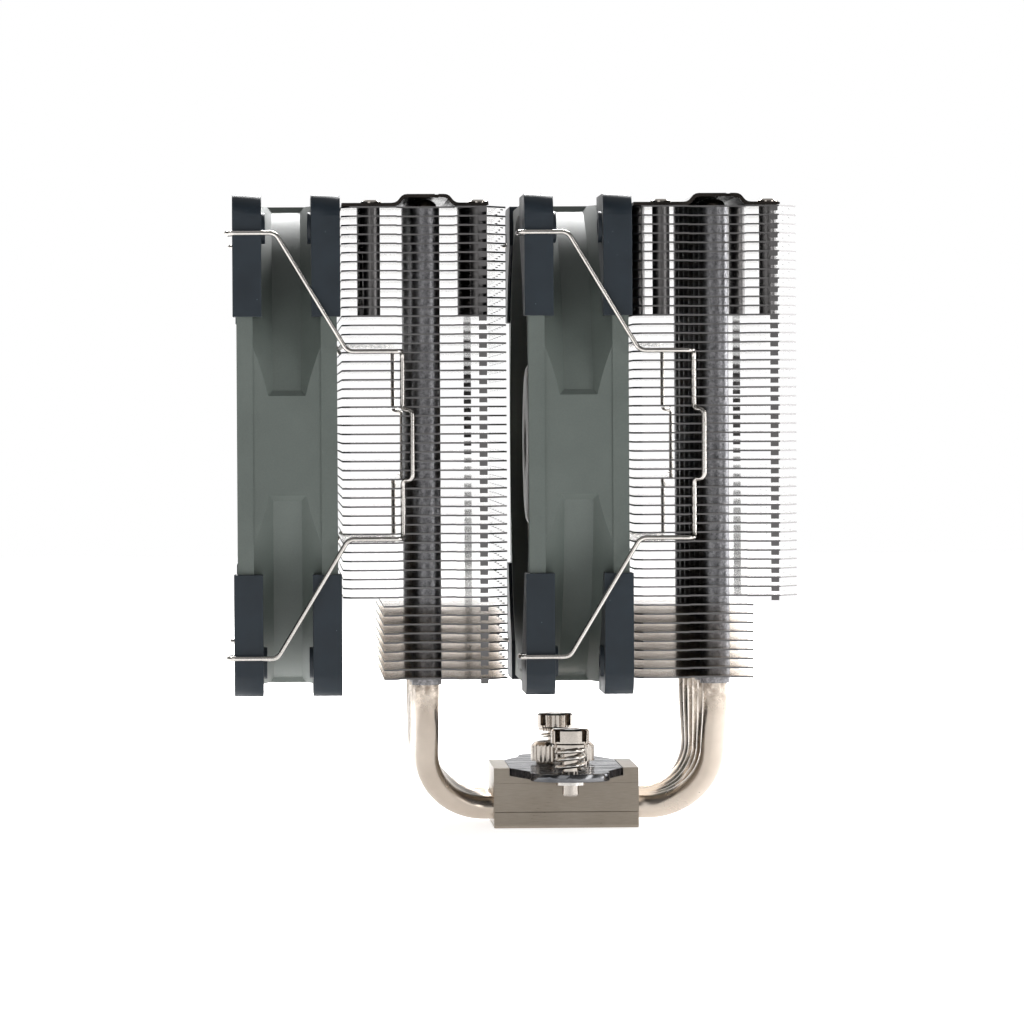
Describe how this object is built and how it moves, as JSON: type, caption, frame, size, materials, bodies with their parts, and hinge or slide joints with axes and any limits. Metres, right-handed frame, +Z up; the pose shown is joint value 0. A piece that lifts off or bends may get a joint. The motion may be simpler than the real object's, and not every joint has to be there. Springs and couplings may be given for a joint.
{
  "type": "cpu tower cooler",
  "caption": "Air cooler for a processor: U-shaped heat pipes rise from a clamped base into a pair of fin towers, with clip-on fans, folded top covers and a spring-screw mounting bar.",
  "frame": {"origin": "middle of the contact face under the base", "axes": "+X along the airflow, +Y along the fan faces, +Z up from the processor"},
  "size_m": [0.1385, 0.1248, 0.1561],
  "materials": {
    "base_nickel": "finely milled warm nickel plating",
    "pipe_nickel": "nickel-plated copper pipe",
    "fin_aluminium": "bright rolled sheet",
    "black_nickel": "glossy black nickel",
    "bright_nickel": "bright nickel",
    "spring_steel": "drawn wire",
    "fan_plastic": "fine spark texture, grey-green",
    "pad_rubber": "satin dark blue-grey",
    "impeller_plastic": "satin warm beige",
    "yoke_steel": "drawn steel",
    "magnet_ferrite": "pressed ferrite",
    "bearing_bronze": "sintered",
    "stator_steel": "stacked laminations",
    "coil_copper": "enamelled winding",
    "circuit_board": "solder mask",
    "hub_film": "blank satin film"
  },
  "bodies": {
    "root": {"base_plate": "base_nickel", "base_cover": "base_nickel", "heat_pipe_1": "pipe_nickel", "heat_pipe_2": "pipe_nickel", "heat_pipe_3": "pipe_nickel", "heat_pipe_4": "pipe_nickel", "heat_pipe_5": "pipe_nickel", "heat_pipe_6": "pipe_nickel", "left_upper_fins": "fin_aluminium", "left_lower_fins": "fin_aluminium", "right_upper_fins": "fin_aluminium", "right_lower_fins": "fin_aluminium", "left_top_cover": "black_nickel", "right_top_cover": "black_nickel", "left_cover_screws": "bright_nickel", "right_cover_screws": "bright_nickel", "mounting_bar": "bright_nickel", "clamp_stud": "bright_nickel", "near_screw_spring": "spring_steel", "far_screw_spring": "spring_steel"},
    "clamp_nut": {"clamp_nut": "bright_nickel"},
    "near_washer": {"near_screw_washer": "bright_nickel"},
    "near_screw": {"near_spring_screw": "bright_nickel", "near_retaining_ring": "spring_steel"},
    "far_washer": {"far_screw_washer": "bright_nickel"},
    "far_screw": {"far_spring_screw": "bright_nickel", "far_retaining_ring": "spring_steel"},
    "outer_fan": {"outer_fan_frame": "fan_plastic", "outer_motor_mount": "fan_plastic", "outer_fan_pads": "pad_rubber", "outer_bearing_sleeve": "bearing_bronze", "outer_stator_core": "stator_steel", "outer_stator_coils": "coil_copper", "outer_fan_board": "circuit_board", "outer_hub_disc": "hub_film"},
    "outer_rotor": {"outer_impeller": "impeller_plastic", "outer_rotor_yoke": "yoke_steel", "outer_rotor_magnet": "magnet_ferrite", "outer_fan_shaft": "yoke_steel"},
    "outer_near_clip": {"outer_near_clip": "spring_steel"},
    "outer_far_clip": {"outer_far_clip": "spring_steel"},
    "inner_fan": {"inner_fan_frame": "fan_plastic", "inner_motor_mount": "fan_plastic", "inner_fan_pads": "pad_rubber", "inner_bearing_sleeve": "bearing_bronze", "inner_stator_core": "stator_steel", "inner_stator_coils": "coil_copper", "inner_fan_board": "circuit_board", "inner_hub_disc": "hub_film"},
    "inner_rotor": {"inner_impeller": "impeller_plastic", "inner_rotor_yoke": "yoke_steel", "inner_rotor_magnet": "magnet_ferrite", "inner_fan_shaft": "yoke_steel"},
    "inner_near_clip": {"inner_near_clip": "spring_steel"},
    "inner_far_clip": {"inner_far_clip": "spring_steel"}
  },
  "joints": [
    {"name": "near_screw_travel", "type": "slide", "parent": "root", "child": "near_washer", "axis": [0, 0, 1], "range_m": [-0.0022, 0], "stiffness_N_per_m": 800, "deforming": ["near_screw_spring"]},
    {"name": "near_screw_turn", "type": "hinge", "parent": "near_washer", "child": "near_screw", "pos_m": [0, -0.04, 0.02], "axis": [0, 0, 1], "continuous": true},
    {"name": "far_screw_travel", "type": "slide", "parent": "root", "child": "far_washer", "axis": [0, 0, 1], "range_m": [-0.0022, 0], "stiffness_N_per_m": 800, "deforming": ["far_screw_spring"]},
    {"name": "far_screw_turn", "type": "hinge", "parent": "far_washer", "child": "far_screw", "pos_m": [0, 0.04, 0.02], "axis": [0, 0, 1], "continuous": true},
    {"name": "clamp_nut_turn", "type": "hinge", "parent": "root", "child": "clamp_nut", "pos_m": [0, 0, 0.018], "axis": [0, 0, 1], "continuous": true},
    {"name": "outer_fan_height", "type": "slide", "parent": "root", "child": "outer_fan", "axis": [0, 0, 1], "range_m": [0, 0.025]},
    {"name": "outer_fan_spin", "type": "hinge", "parent": "outer_fan", "child": "outer_rotor", "pos_m": [-0.06885, 0, 0.09548], "axis": [1, 0, 0], "continuous": true},
    {"name": "outer_near_clip_swing", "type": "hinge", "parent": "outer_fan", "child": "outer_near_clip", "pos_m": [-0.08135, -0.0525, 0.09548], "axis": [0, 0, -1], "range_deg": [0, 18], "stiffness_Nm_per_rad": 0.02},
    {"name": "outer_far_clip_swing", "type": "hinge", "parent": "outer_fan", "child": "outer_far_clip", "pos_m": [-0.08135, 0.0525, 0.09548], "axis": [0, 0, 1], "range_deg": [0, 18], "stiffness_Nm_per_rad": 0.02},
    {"name": "inner_fan_height", "type": "slide", "parent": "root", "child": "inner_fan", "axis": [0, 0, 1], "range_m": [0, 0.025]},
    {"name": "inner_fan_spin", "type": "hinge", "parent": "inner_fan", "child": "inner_rotor", "pos_m": [0.00155, 0, 0.09548], "axis": [1, 0, 0], "continuous": true},
    {"name": "inner_near_clip_swing", "type": "hinge", "parent": "inner_fan", "child": "inner_near_clip", "pos_m": [-0.01095, -0.0525, 0.09548], "axis": [0, 0, -1], "range_deg": [0, 18], "stiffness_Nm_per_rad": 0.02},
    {"name": "inner_far_clip_swing", "type": "hinge", "parent": "inner_fan", "child": "inner_far_clip", "pos_m": [-0.01095, 0.0525, 0.09548], "axis": [0, 0, 1], "range_deg": [0, 18], "stiffness_Nm_per_rad": 0.02}
  ]
}
